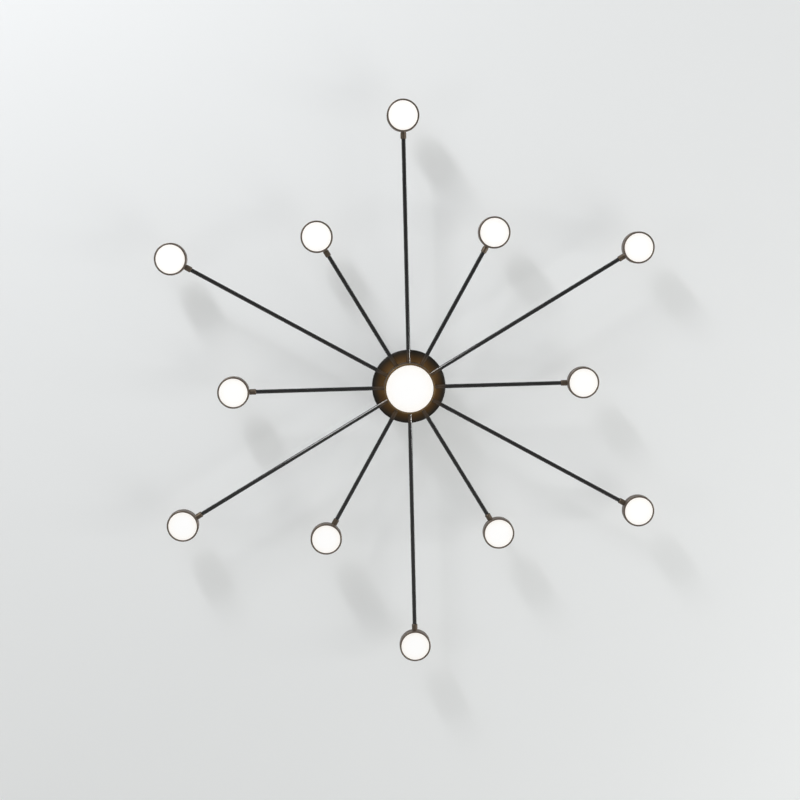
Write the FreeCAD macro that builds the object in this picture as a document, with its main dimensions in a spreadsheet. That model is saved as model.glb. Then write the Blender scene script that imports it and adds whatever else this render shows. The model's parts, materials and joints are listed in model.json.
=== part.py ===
import FreeCAD, Part
import os
import re

import Sketcher

# Flush LED ceiling light: a middle lamp under a ceiling cup, with twelve arms that carry disc heads.
# Millimetres. The origin is the middle of the ceiling plane and +Z points up into the ceiling.

ARM_COUNT = 12
ARM_PITCH = 360 / ARM_COUNT
HUB_SCREW_COUNT = 3

# Driving dimensions, each set once
SIZES = {
    # arms, measured from the lamp's axis to the middle of the head
    "long_reach": 425.0,
    "short_reach": 279.0,
    "rod_diameter": 6.5,
    "rod_wall": 0.8,
    "rod_fit": 0.02,
    "rod_root_gap": 1.0,
    "rod_drop": 8.0,
    # heads
    "head_height": 14.0,
    "head_rim": 2.6,
    "head_back": 1.5,
    "head_edge": 0.7,
    "head_ledge": 1.2,
    "diffuser_diameter": 45.2,
    "diffuser_thickness": 2.4,
    "diffuser_edge": 0.3,
    "diffuser_fit": 0.05,
    "board_gap": 0.5,
    "board_thickness": 1.2,
    "chip_side": 2.8,
    "chip_height": 0.7,
    "chip_inset": 6.5,
    # swivel between each arm and its head
    "coupler_diameter": 9.1,
    "coupler_length": 9.5,
    "coupler_chamfer": 0.9,
    "rod_insert": 6.0,
    "wire_bore": 2.6,
    "boss_cover": 0.5,
    "boss_length": 1.0,
    "boss_inside": 1.9,
    "spigot_diameter": 4.6,
    "spigot_fit": 0.05,
    "swivel_play": 0.1,
    "nut_flats": 7.0,
    "nut_thickness": 2.4,
    "thread_fit": 0.02,
    # middle lamp, into whose upper ring the arms run
    "lamp_height": 29.0,
    "lamp_rim": 2.65,
    "lamp_edge": 0.7,
    "lamp_ledge": 1.6,
    "lamp_web": 2.0,
    "socket_ring_wall": 10.0,
    "socket_ring_height": 15.0,
    "lamp_diffuser_diameter": 74.6,
    "lamp_diffuser_thickness": 3.0,
    "lamp_board_gap": 2.7,
    "lamp_board_thickness": 1.6,
    "lamp_chip_inset": 10.0,
    "lamp_chip_ring_step": 13.0,
    "lamp_wire_hole": 6.0,
    # plate between the lamp and the cup
    "plate_diameter": 118.0,
    "plate_thickness": 1.2,
    "plate_lip": 6.5,
    "plate_edge_radius": 3.5,
    # ceiling cup
    "cup_diameter": 90.0,
    "cup_height": 30.0,
    "cup_wall": 1.2,
    "cup_edge_radius": 2.5,
    "wire_hole": 8.0,
    "wire_hole_margin": 2.0,
    # ceiling bracket
    "bracket_width": 22.0,
    "bracket_thickness": 2.0,
    "bracket_tab": 13.0,
    "bracket_clearance": 0.3,
    "cable_hole": 10.0,
    "slot_spacing": 50.0,
    "slot_length": 18.0,
    "slot_width": 5.0,
    # screws
    "screw_diameter": 4.0,
    "screw_head_diameter": 7.0,
    "screw_head_height": 2.4,
    "screw_head_edge": 0.8,
    "screw_clearance": 0.2,
    "cup_screw_length": 6.0,
    "cup_screw_drop": 8.0,
    "hub_screw_grip": 8.0,
    "hub_screw_spare": 1.0,
    "hub_screw_angle": 75.0,
    # driver and terminal block on the cup's floor
    "driver_length": 50.0,
    "driver_width": 34.0,
    "driver_height": 20.0,
    "driver_corner": 2.0,
    "driver_well_length": 9.0,
    "driver_well_width": 24.0,
    "driver_well_depth": 8.0,
    "block_length": 20.0,
    "block_width": 12.0,
    "block_height": 12.0,
    "block_across": -14.0,
    "block_along": 26.0,
    "block_pole_spacing": 6.0,
    "block_screw_hole": 3.6,
    "block_screw_depth": 5.0,
}

# Heights that several pieces share, as formulas on the sizes
CUP_FLOOR = "(cup_wall - cup_height)"
PLATE_BACK = "(-cup_height)"
PLATE_FACE = "(-cup_height - plate_thickness)"
ROD_AXIS = "(-cup_height - plate_thickness - rod_drop)"
WEB_TOP = "(-cup_height - plate_thickness - socket_ring_height)"
WEB_UNDERSIDE = "(-cup_height - plate_thickness - socket_ring_height - lamp_web)"
LAMP_FACE = "(-cup_height - plate_thickness - lamp_height)"

# Radii about a head's own middle, and distances from there back along its arm
HEAD_RADIUS = "(diffuser_diameter / 2 + diffuser_fit + head_rim)"
HEAD_INSIDE = "(diffuser_diameter / 2 - head_ledge)"
BOSS_DIAMETER = "(head_height - 2 * diffuser_thickness - 2 * boss_cover)"
BOSS_FACE = f"({HEAD_RADIUS} + boss_length)"
COUPLER_FACE = f"({BOSS_FACE} + swivel_play)"
NUT_SEAT = f"({HEAD_INSIDE} - boss_inside)"
NUT_FACE = f"({NUT_SEAT} - swivel_play)"
BOARD_RADIUS = f"({NUT_FACE} - nut_thickness - board_gap)"

# Radii about the lamp's axis
LAMP_RADIUS = "(lamp_diffuser_diameter / 2 + diffuser_fit + lamp_rim)"
LAMP_INSIDE = "(lamp_diffuser_diameter / 2 - lamp_ledge)"
RING_BORE = f"({LAMP_RADIUS} - socket_ring_wall)"
HUB_SCREW_RADIUS = f"({LAMP_RADIUS} - socket_ring_wall / 2)"
WIRE_HOLE_RADIUS = f"({RING_BORE} - wire_hole_margin - wire_hole / 2)"
LAMP_BOARD_RADIUS = f"({LAMP_INSIDE} - lamp_board_gap)"

# A sketch counts its points up from one and its axes down from minus one
START, END, CENTRE = range(1, 4)
HORIZONTAL, VERTICAL = range(-1, -3, -1)
ORIGIN = HORIZONTAL

# Two lengths this close are the same length
SAME = 1e-4

doc = FreeCAD.newDocument("ceiling_light")
sheet = doc.addObject("Spreadsheet::Sheet", "sizes")
for row, (alias, value) in enumerate(SIZES.items(), start=1):
    sheet.set(f"A{row}", alias)
    sheet.set(f"B{row}", str(value))
    sheet.setAlias(f"B{row}", alias)
doc.recompute()

subparts = []


def size(alias):
    """The number in the sheet's cell of that name."""
    return float(sheet.get(alias))


def bound(formula):
    """The formula with each size's name pointing at its cell in the sheet."""
    return re.sub(r"[a-z]+(?:_[a-z]+)+", r"sizes.\g<0>", formula)


def new_body(label):
    body = doc.addObject("PartDesign::Body", label)
    body.Label = label
    return body


def origin_feature(body, role):
    return next(feature for feature in body.Origin.OriginFeatures if feature.Role == role)


def new_sketch(body, name, plane, offset="0"):
    """A sketch on one of the body's origin planes, moved along that plane's normal."""
    sketch = body.newObject("Sketcher::SketchObject", name)
    sketch.AttachmentSupport = [(origin_feature(body, plane), "")]
    sketch.MapMode = "FlatFace"
    if offset != "0":
        sketch.setExpression("AttachmentOffset.Base.z", bound(offset))
    return sketch


def place_point(sketch, geometry, point, start, across, up):
    """Bind a point of a sketch to its distances from the sketch's origin."""
    for kind, axis, first_guess, formula in (
        ("DistanceX", VERTICAL, start.x, across),
        ("DistanceY", HORIZONTAL, start.y, up),
    ):
        if formula == "0":
            sketch.addConstraint(Sketcher.Constraint("PointOnObject", geometry, point, axis))
            continue
        distance = Sketcher.Constraint(kind, ORIGIN, START, geometry, point, first_guess)
        index = sketch.addConstraint(distance)
        sketch.setExpression(f"Constraints[{index}]", bound(formula))


def add_outline(sketch, corners):
    """A closed outline of straight edges through corners given as formulas."""
    count = len(corners)
    turn = FreeCAD.Rotation(FreeCAD.Vector(0, 0, 1), 360 / count)
    guesses = [FreeCAD.Vector(1, 0.5, 0)]
    while len(guesses) < count:
        guesses.append(turn.multVec(guesses[-1]))
    edges = [
        sketch.addGeometry(Part.LineSegment(guesses[i], guesses[(i + 1) % count])) for i in range(count)
    ]
    for i, edge in enumerate(edges):
        following = edges[(i + 1) % count]
        sketch.addConstraint(Sketcher.Constraint("Coincident", edge, END, following, START))
    for edge, guess, (across, up) in zip(edges, guesses, corners):
        place_point(sketch, edge, START, guess, across, up)


def add_circle(sketch, diameter, across="0", up="0"):
    guess = FreeCAD.Vector(1, 0.5, 0)
    circle = sketch.addGeometry(Part.Circle(guess, FreeCAD.Vector(0, 0, 1), 1))
    place_point(sketch, circle, CENTRE, guess, across, up)
    index = sketch.addConstraint(Sketcher.Constraint("Diameter", circle, 2))
    sketch.setExpression(f"Constraints[{index}]", bound(diameter))


def rectangle(length, width, across="0", up="0"):
    """The corners of a rectangle about a middle point, as formulas."""
    sides = ((1, 1), (-1, 1), (-1, -1), (1, -1))
    return [(f"{across} + {x} * ({length}) / 2", f"{up} + {y} * ({width}) / 2") for x, y in sides]


def revolve(body, name, corners, about="V_Axis"):
    """A full turn of an outline in the XZ plane about the body's Z axis, or its X axis."""
    sketch = new_sketch(body, f"{name}_outline", "XZ_Plane")
    add_outline(sketch, corners)
    turned = body.newObject("PartDesign::Revolution", name)
    turned.Profile = sketch
    turned.ReferenceAxis = (sketch, [about])
    turned.Angle = 360
    doc.recompute()
    return turned


def pad(body, name, sketch, length, reverse=False, side="One side"):
    raised = body.newObject("PartDesign::Pad", name)
    raised.Profile = sketch
    raised.setExpression("Length", bound(length))
    raised.Reversed = reverse
    raised.SideType = side
    doc.recompute()
    return raised


def pocket(body, name, sketch, length, reverse=False, side="One side"):
    """A cut from a sketch, which must take some material away."""
    volume = body.Shape.Volume
    cut = body.newObject("PartDesign::Pocket", name)
    cut.Profile = sketch
    cut.setExpression("Length", bound(length))
    cut.Reversed = reverse
    cut.SideType = side
    doc.recompute()
    if not body.Shape.Volume < volume:
        raise RuntimeError(f"{name} cuts nothing from {body.Label}")
    return cut


def polar_pattern(body, name, feature, count):
    pattern = body.newObject("PartDesign::PolarPattern", name)
    pattern.Originals = [feature]
    pattern.Axis = (origin_feature(body, "Z_Axis"), [""])
    pattern.Angle = 360
    pattern.Occurrences = count
    body.Tip = pattern
    doc.recompute()
    return pattern


def fillet_edges(body, name, radius, edges):
    base = body.Tip
    fillet = body.newObject("PartDesign::Fillet", name)
    fillet.Base = (base, edges)
    fillet.setExpression("Radius", bound(radius))
    doc.recompute()
    return fillet


def round_rim(body, name, radius, rim_radius, height):
    """Round the circular edge of that radius at that height."""
    edges = [
        f"Edge{number}"
        for number, edge in enumerate(body.Shape.Edges, start=1)
        if isinstance(edge.Curve, Part.Circle)
        and abs(edge.Curve.Radius - rim_radius) < SAME
        and abs(edge.Curve.Center.z - height) < SAME
    ]
    return fillet_edges(body, name, radius, edges)


def place(part, angle, reach="0", height="0"):
    """Turn a part about the lamp's axis and set it out along its arm, at a height."""
    part.Placement = FreeCAD.Placement(FreeCAD.Vector(), FreeCAD.Rotation(FreeCAD.Vector(0, 0, 1), angle))
    part.setExpression("Placement.Base.x", bound(f"({reach}) * cos({angle} deg)"))
    part.setExpression("Placement.Base.y", bound(f"({reach}) * sin({angle} deg)"))
    part.setExpression("Placement.Base.z", bound(height))


def keep(part):
    subparts.append(part)
    return part


def keep_group(label, parts):
    """One node that holds several identical pieces as separate solids."""
    group = doc.addObject("Part::Compound", label)
    group.Label = label
    group.Links = parts
    return keep(group)


def hub_screw_holes(body, name, height, depth, clearance):
    """The ring of holes for the screws that hold the cup, the plate and the lamp together."""
    sketch = new_sketch(body, f"{name}_sketch", "XY_Plane", height)
    add_circle(
        sketch,
        f"screw_diameter + 2 * {clearance}",
        f"{HUB_SCREW_RADIUS} * cos(hub_screw_angle)",
        f"{HUB_SCREW_RADIUS} * sin(hub_screw_angle)",
    )
    hole = pocket(body, f"{name}_first", sketch, depth)
    return polar_pattern(body, name, hole, HUB_SCREW_COUNT)


def wire_passage(body, name, height, depth):
    """The hole that leads the wires from the cup into the lamp body."""
    sketch = new_sketch(body, f"{name}_sketch", "XY_Plane", height)
    add_circle(sketch, "wire_hole", "0", f"-{WIRE_HOLE_RADIUS}")
    return pocket(body, name, sketch, depth)


# Ceiling side


def ceiling_bracket():
    """A strip with its ends bent down, slotted for the ceiling's screws."""
    body = new_body("ceiling_bracket")
    cup_inside = "(cup_diameter / 2 - cup_wall)"
    half = f"(sqrt({cup_inside} ^ 2 - (bracket_width / 2) ^ 2) - bracket_clearance)"
    inner = f"({half} - bracket_thickness)"
    side_view = new_sketch(body, "bracket_side_view", "XZ_Plane")
    add_outline(
        side_view,
        [
            (f"-{half}", "0"),
            (half, "0"),
            (half, "-bracket_tab"),
            (inner, "-bracket_tab"),
            (inner, "-bracket_thickness"),
            (f"-{inner}", "-bracket_thickness"),
            (f"-{inner}", "-bracket_tab"),
            (f"-{half}", "-bracket_tab"),
        ],
    )
    pad(body, "bracket_strip", side_view, "bracket_width", side="Symmetric")
    slot_run = "slot_length - slot_width"
    runs = new_sketch(body, "slot_runs_sketch", "XY_Plane")
    ends = new_sketch(body, "slot_ends_sketch", "XY_Plane")
    for side in ("", "-"):
        middle = f"{side}slot_spacing / 2"
        add_outline(runs, rectangle(slot_run, "slot_width", middle))
        add_circle(ends, "slot_width", f"{middle} + ({slot_run}) / 2")
        add_circle(ends, "slot_width", f"{middle} - ({slot_run}) / 2")
    pocket(body, "slot_runs", runs, "bracket_thickness")
    pocket(body, "slot_ends", ends, "bracket_thickness")
    cable = new_sketch(body, "cable_hole_sketch", "XY_Plane")
    add_circle(cable, "cable_hole")
    pocket(body, "cable_hole", cable, "bracket_thickness")
    threads = new_sketch(body, "tab_holes_sketch", "YZ_Plane")
    add_circle(threads, "screw_diameter + 2 * thread_fit", "0", "-cup_screw_drop")
    pocket(body, "tab_holes", threads, "cup_diameter", side="Symmetric")
    return keep(body)


def ceiling_cup():
    """A pressed cup, open to the ceiling, whose floor sits on the plate."""
    body = new_body("ceiling_cup")
    outside = "cup_diameter / 2"
    inside = "cup_diameter / 2 - cup_wall"
    wall = [
        ("0", "-cup_height"),
        (outside, "-cup_height"),
        (outside, "0"),
        (inside, "0"),
        (inside, CUP_FLOOR),
        ("0", CUP_FLOOR),
    ]
    revolve(body, "cup_wall", wall)
    radius = size("cup_diameter") / 2
    wall_thickness = size("cup_wall")
    floor = wall_thickness - size("cup_height")
    round_rim(body, "cup_outer_edge", "cup_edge_radius", radius, -size("cup_height"))
    round_rim(body, "cup_inner_edge", "cup_edge_radius - cup_wall", radius - wall_thickness, floor)
    sides = new_sketch(body, "side_holes_sketch", "YZ_Plane")
    add_circle(sides, "screw_diameter + 2 * screw_clearance", "0", "-cup_screw_drop")
    pocket(body, "side_holes", sides, "2 * cup_diameter", side="Symmetric")
    hub_screw_holes(body, "cup_floor_holes", CUP_FLOOR, "cup_wall", "screw_clearance")
    wire_passage(body, "cup_wire_hole", CUP_FLOOR, "cup_wall")
    return keep(body)


def pan_screw(label, length):
    """A pan-head screw along Z, with the underside of its head at the origin."""
    body = new_body(label)
    rim = "screw_head_diameter / 2"
    revolve(
        body,
        f"{label}_turned",
        [
            ("0", "screw_head_height"),
            (f"{rim} - screw_head_edge", "screw_head_height"),
            (rim, "screw_head_height - screw_head_edge"),
            (rim, "0"),
            ("screw_diameter / 2", "0"),
            ("screw_diameter / 2", f"-({length})"),
            ("0", f"-({length})"),
        ],
    )
    return body


def cup_screws():
    """Two screws through the cup's side into the bracket's tabs."""
    screws = []
    for number, side in enumerate((1, -1), start=1):
        screw = pan_screw(f"cup_screw_{number}", "cup_screw_length")
        outwards = FreeCAD.Rotation(FreeCAD.Vector(0, 0, 1), FreeCAD.Vector(side, 0, 0))
        screw.Placement = FreeCAD.Placement(FreeCAD.Vector(), outwards)
        screw.setExpression("Placement.Base.x", bound(f"{side} * cup_diameter / 2"))
        screw.setExpression("Placement.Base.z", bound("-cup_screw_drop"))
        screws.append(screw)
    return keep_group("cup_screws", screws)


def hub_screws():
    """Three screws from inside the cup, through its floor and the plate into the lamp body."""
    screws = []
    for number in range(HUB_SCREW_COUNT):
        screw = pan_screw(f"hub_screw_{number + 1}", "cup_wall + plate_thickness + hub_screw_grip")
        angle = size("hub_screw_angle") + 360 * number / HUB_SCREW_COUNT
        place(screw, angle, HUB_SCREW_RADIUS, CUP_FLOOR)
        screws.append(screw)
    return keep_group("hub_screws", screws)


def led_driver():
    """A driver box on the cup's floor, with a terminal well at each end."""
    body = new_body("led_driver")
    base = new_sketch(body, "driver_base", "XY_Plane", CUP_FLOOR)
    add_outline(base, rectangle("driver_length", "driver_width"))
    pad(body, "driver_box", base, "driver_height")
    uprights = [
        f"Edge{number}"
        for number, edge in enumerate(body.Shape.Edges, start=1)
        if abs(edge.BoundBox.ZLength - size("driver_height")) < SAME
    ]
    fillet_edges(body, "driver_corners", "driver_corner", uprights)
    wells = new_sketch(body, "driver_wells_sketch", "XY_Plane", f"{CUP_FLOOR} + driver_height")
    for side in ("", "-"):
        middle = f"{side}(driver_length - driver_well_length) / 2"
        add_outline(wells, rectangle("driver_well_length", "driver_well_width", middle))
    pocket(body, "driver_wells", wells, "driver_well_depth")
    return keep(body)


def terminal_block():
    """A three-pole block beside the driver, with a screw well over each pole."""
    body = new_body("terminal_block")
    base = new_sketch(body, "block_base", "XY_Plane", CUP_FLOOR)
    add_outline(base, rectangle("block_length", "block_width", "block_across", "block_along"))
    pad(body, "block_body", base, "block_height")
    screws = new_sketch(body, "block_screws_sketch", "XY_Plane", f"{CUP_FLOOR} + block_height")
    wires = new_sketch(body, "block_wires_sketch", "XZ_Plane", "-block_along - block_width / 2")
    for pole in (-1, 0, 1):
        across = f"block_across + {pole} * block_pole_spacing"
        add_circle(screws, "block_screw_hole", across, "block_along")
        add_circle(wires, "block_screw_hole", across, f"{CUP_FLOOR} + block_screw_hole")
    pocket(body, "block_screw_wells", screws, "block_screw_depth")
    pocket(body, "block_wire_holes", wires, "block_width", reverse=True)
    return keep(body)


# Middle


def hub_plate():
    """A shallow pressed plate with a rounded edge turned back towards the ceiling."""
    body = new_body("hub_plate")
    outside = "plate_diameter / 2"
    inside = "plate_diameter / 2 - plate_thickness"
    lip_top = f"{PLATE_FACE} + plate_lip"
    section = [
        ("0", PLATE_FACE),
        (outside, PLATE_FACE),
        (outside, lip_top),
        (inside, lip_top),
        (inside, PLATE_BACK),
        ("0", PLATE_BACK),
    ]
    revolve(body, "plate_pressing", section)
    radius = size("plate_diameter") / 2
    thickness = size("plate_thickness")
    back = -size("cup_height")
    round_rim(body, "plate_outer_edge", "plate_edge_radius", radius, back - thickness)
    round_rim(body, "plate_inner_edge", "plate_edge_radius - plate_thickness", radius - thickness, back)
    hub_screw_holes(body, "plate_holes", PLATE_BACK, "plate_thickness", "screw_clearance")
    wire_passage(body, "plate_wire_hole", PLATE_BACK, "plate_thickness")
    return keep(body)


def lamp_body():
    """The turned lamp drum: a thick ring with a socket for each arm, a web and the lamp's own cup."""
    body = new_body("lamp_body")
    seat = "lamp_diffuser_diameter / 2 + diffuser_fit"
    ledge_height = f"{LAMP_FACE} + lamp_diffuser_thickness"
    section = [
        (RING_BORE, PLATE_FACE),
        (LAMP_RADIUS, PLATE_FACE),
        (LAMP_RADIUS, f"{LAMP_FACE} + lamp_edge"),
        (f"{LAMP_RADIUS} - lamp_edge", LAMP_FACE),
        (seat, LAMP_FACE),
        (seat, ledge_height),
        (LAMP_INSIDE, ledge_height),
        (LAMP_INSIDE, WEB_UNDERSIDE),
        ("0", WEB_UNDERSIDE),
        ("0", WEB_TOP),
        (RING_BORE, WEB_TOP),
    ]
    revolve(body, "lamp_drum", section)
    socket = new_sketch(body, "arm_socket_sketch", "YZ_Plane")
    add_circle(socket, "rod_diameter + 2 * rod_fit", "0", ROD_AXIS)
    first = pocket(body, "arm_socket", socket, f"2 * {LAMP_RADIUS}", reverse=True)
    polar_pattern(body, "arm_sockets", first, ARM_COUNT)
    depth = "hub_screw_grip + hub_screw_spare"
    hub_screw_holes(body, "lamp_screw_holes", PLATE_FACE, depth, "thread_fit")
    wires = new_sketch(body, "lamp_wire_hole_sketch", "XY_Plane", WEB_TOP)
    add_circle(wires, "lamp_wire_hole")
    pocket(body, "lamp_wire_hole", wires, "lamp_web")
    return keep(body)


def lamp_led_board():
    """The lamp's round LED board under the web, with two rings of chips."""
    body = new_body("lamp_led_board")
    disc = new_sketch(body, "lamp_board_disc_sketch", "XY_Plane", WEB_UNDERSIDE)
    add_circle(disc, f"2 * {LAMP_BOARD_RADIUS}")
    add_circle(disc, "lamp_wire_hole")
    pad(body, "lamp_board_disc", disc, "lamp_board_thickness", reverse=True)
    underside = f"{WEB_UNDERSIDE} - lamp_board_thickness"
    outer_ring = f"{LAMP_BOARD_RADIUS} - lamp_chip_inset"
    inner_ring = f"{outer_ring} - lamp_chip_ring_step"
    for ring, radius, count in (("outer", outer_ring, 18), ("inner", inner_ring, 8)):
        chip = new_sketch(body, f"{ring}_chip_sketch", "XY_Plane", underside)
        add_outline(chip, rectangle("chip_side", "chip_side", radius))
        raised = pad(body, f"{ring}_chip", chip, "chip_height", reverse=True)
        polar_pattern(body, f"{ring}_chips", raised, count)
    return keep(body)


def lamp_diffuser():
    """The lamp's opal disc, flush with the drum's rim."""
    body = new_body("lamp_diffuser")
    rim = "lamp_diffuser_diameter / 2"
    back = f"{LAMP_FACE} + lamp_diffuser_thickness"
    section = [
        ("0", LAMP_FACE),
        (f"{rim} - diffuser_edge", LAMP_FACE),
        (rim, f"{LAMP_FACE} + diffuser_edge"),
        (rim, back),
        ("0", back),
    ]
    revolve(body, "lamp_diffuser_disc", section)
    return keep(body)


# Arms and heads: a head's own pieces are drawn about its middle, with its arm coming along -X


def arm(number, angle, reach):
    """A tube from its socket in the lamp's ring to the coupler at its head."""
    body = new_body(f"arm_{number:02d}")
    root = f"{RING_BORE} + rod_root_gap"
    tip = f"{reach} - {COUPLER_FACE} - coupler_length + rod_insert"
    section = new_sketch(body, f"arm_section_{number:02d}", "YZ_Plane", root)
    add_circle(section, "rod_diameter")
    add_circle(section, "rod_diameter - 2 * rod_wall")
    pad(body, f"arm_tube_{number:02d}", section, f"{tip} - ({root})")
    place(body, angle, height=ROD_AXIS)
    return keep(body)


def arm_coupler(number, angle, reach):
    """The turned coupler on an arm's end, with the spigot that its head turns on."""
    body = new_body(f"arm_coupler_{number:02d}")
    inner_end = f"-{COUPLER_FACE} - coupler_length"
    socket_floor = f"{inner_end} + rod_insert"
    socket = "rod_diameter / 2 + rod_fit"
    outside = "coupler_diameter / 2"
    spigot_tip = f"nut_thickness - {NUT_FACE}"
    section = [
        (inner_end, socket),
        (inner_end, f"{outside} - coupler_chamfer"),
        (f"{inner_end} + coupler_chamfer", outside),
        (f"-{COUPLER_FACE}", outside),
        (f"-{COUPLER_FACE}", "spigot_diameter / 2"),
        (spigot_tip, "spigot_diameter / 2"),
        (spigot_tip, "wire_bore / 2"),
        (socket_floor, "wire_bore / 2"),
        (socket_floor, socket),
    ]
    revolve(body, f"coupler_turned_{number:02d}", section, about="H_Axis")
    place(body, angle, reach, ROD_AXIS)
    return body


def swivel_nut(number, angle, reach):
    """The nut on the spigot's tip that holds the head against the coupler."""
    body = new_body(f"swivel_nut_{number:02d}")
    section = new_sketch(body, f"nut_section_{number:02d}", "YZ_Plane", f"-{NUT_FACE}")
    half = "nut_flats / 2"
    low = "nut_flats / 2 / sqrt(3)"
    high = "nut_flats / sqrt(3)"
    corners = [(half, low), ("0", high), (f"-{half}", low), (f"-{half}", f"-{low}"), ("0", f"-{high}")]
    add_outline(section, [*corners, (half, f"-{low}")])
    add_circle(section, "spigot_diameter + 2 * thread_fit")
    pad(body, f"nut_hexagon_{number:02d}", section, "nut_thickness")
    place(body, angle, reach, ROD_AXIS)
    return body


def head_casing(number, angle, reach):
    """A head's turned cup, with a ledge for its diffuser and a bored boss for the coupler."""
    body = new_body(f"head_casing_{number:02d}")
    seat = "diffuser_diameter / 2 + diffuser_fit"
    top = "head_height / 2"
    ledge_height = f"diffuser_thickness - {top}"
    section = [
        ("0", top),
        (f"{HEAD_RADIUS} - head_edge", top),
        (HEAD_RADIUS, f"{top} - head_edge"),
        (HEAD_RADIUS, f"head_edge - {top}"),
        (f"{HEAD_RADIUS} - head_edge", f"-{top}"),
        (seat, f"-{top}"),
        (seat, ledge_height),
        (HEAD_INSIDE, ledge_height),
        (HEAD_INSIDE, f"{top} - head_back"),
        ("0", f"{top} - head_back"),
    ]
    revolve(body, f"casing_cup_{number:02d}", section)
    boss = new_sketch(body, f"boss_sketch_{number:02d}", "YZ_Plane", f"-{BOSS_FACE}")
    add_circle(boss, BOSS_DIAMETER)
    pad(body, f"boss_{number:02d}", boss, f"{BOSS_FACE} - {NUT_SEAT}")
    bore = new_sketch(body, f"boss_bore_sketch_{number:02d}", "YZ_Plane", f"-{BOSS_FACE}")
    add_circle(bore, "spigot_diameter + 2 * spigot_fit")
    pocket(body, f"boss_bore_{number:02d}", bore, BOSS_FACE, reverse=True)
    place(body, angle, reach, ROD_AXIS)
    return keep(body)


def head_diffuser(number, angle, reach):
    """A head's opal disc, flush with the casing's rim."""
    body = new_body(f"head_diffuser_{number:02d}")
    rim = "diffuser_diameter / 2"
    face = "-head_height / 2"
    section = [
        ("0", face),
        (f"{rim} - diffuser_edge", face),
        (rim, f"{face} + diffuser_edge"),
        (rim, f"{face} + diffuser_thickness"),
        ("0", f"{face} + diffuser_thickness"),
    ]
    revolve(body, f"diffuser_disc_{number:02d}", section)
    place(body, angle, reach, ROD_AXIS)
    return keep(body)


def head_led_board(number, angle, reach):
    """A head's round LED board on the casing's back wall, with a ring of chips."""
    body = new_body(f"head_led_board_{number:02d}")
    back = "head_height / 2 - head_back"
    disc = new_sketch(body, f"board_sketch_{number:02d}", "XY_Plane", back)
    add_circle(disc, f"2 * {BOARD_RADIUS}")
    pad(body, f"board_disc_{number:02d}", disc, "board_thickness", reverse=True)
    chip = new_sketch(body, f"chip_sketch_{number:02d}", "XY_Plane", f"{back} - board_thickness")
    add_outline(chip, rectangle("chip_side", "chip_side", f"{BOARD_RADIUS} - chip_inset"))
    raised = pad(body, f"chip_{number:02d}", chip, "chip_height", reverse=True)
    polar_pattern(body, f"chips_{number:02d}", raised, 6)
    place(body, angle, reach, ROD_AXIS)
    return keep(body)


ceiling_bracket()
ceiling_cup()
cup_screws()
hub_screws()
led_driver()
terminal_block()
hub_plate()
lamp_body()
lamp_led_board()
lamp_diffuser()

couplers = []
nuts = []
for arm_number in range(1, ARM_COUNT + 1):
    arm_angle = ARM_PITCH * (arm_number - 1)
    arm_reach = "short_reach" if arm_number % 2 else "long_reach"
    arm(arm_number, arm_angle, arm_reach)
    couplers.append(arm_coupler(arm_number, arm_angle, arm_reach))
    nuts.append(swivel_nut(arm_number, arm_angle, arm_reach))
    head_casing(arm_number, arm_angle, arm_reach)
    head_diffuser(arm_number, arm_angle, arm_reach)
    head_led_board(arm_number, arm_angle, arm_reach)
keep_group("arm_couplers", couplers)
keep_group("swivel_nuts", nuts)
doc.recompute()

for item in doc.Objects:
    if "Invalid" in item.State or "Error" in item.State:
        raise RuntimeError(f"{item.Label} did not build: {item.State}")
for part in subparts:
    if part.Shape.isNull() or not part.Shape.isValid():
        raise RuntimeError(f"{part.Label} has no valid shape")

os.makedirs("parts", exist_ok=True)
for part in subparts:
    part.Shape.exportStep(os.path.join("parts", f"{part.Label}.step"))
    print(f"{part.Label}: {len(part.Shape.Solids)} solids, {part.Shape.Volume:.0f} mm3")
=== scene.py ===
import json
import math
from collections import namedtuple

import bpy
import numpy as np
from mathutils import Matrix, Vector


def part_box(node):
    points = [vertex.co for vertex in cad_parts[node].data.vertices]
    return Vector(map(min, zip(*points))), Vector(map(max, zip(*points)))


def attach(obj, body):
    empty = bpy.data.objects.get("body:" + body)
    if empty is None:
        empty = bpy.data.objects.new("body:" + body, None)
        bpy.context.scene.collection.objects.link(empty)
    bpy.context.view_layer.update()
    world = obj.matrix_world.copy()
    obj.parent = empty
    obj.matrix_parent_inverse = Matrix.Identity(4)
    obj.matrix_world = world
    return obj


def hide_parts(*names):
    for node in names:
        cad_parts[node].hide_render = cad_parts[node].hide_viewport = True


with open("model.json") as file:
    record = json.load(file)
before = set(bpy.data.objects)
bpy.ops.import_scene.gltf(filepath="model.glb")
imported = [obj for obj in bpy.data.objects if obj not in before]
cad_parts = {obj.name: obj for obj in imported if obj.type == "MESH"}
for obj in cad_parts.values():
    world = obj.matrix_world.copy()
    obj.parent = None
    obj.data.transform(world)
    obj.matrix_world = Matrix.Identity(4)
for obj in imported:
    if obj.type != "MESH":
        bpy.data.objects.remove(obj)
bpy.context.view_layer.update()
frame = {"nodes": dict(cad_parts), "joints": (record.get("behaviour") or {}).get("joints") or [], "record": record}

# A flush LED ceiling light seen from below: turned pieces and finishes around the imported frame.
# Lengths are metres. The ceiling is at height 0, +Z goes up into it, and the lamp's axis is Z.

MM = 0.001
ARM_COUNT = 12
NUMBERS = [f"{number:02d}" for number in range(1, ARM_COUNT + 1)]
UP = np.array([0.0, 0.0, 1.0])
FRAME_BODY = "ceiling_frame"

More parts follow.
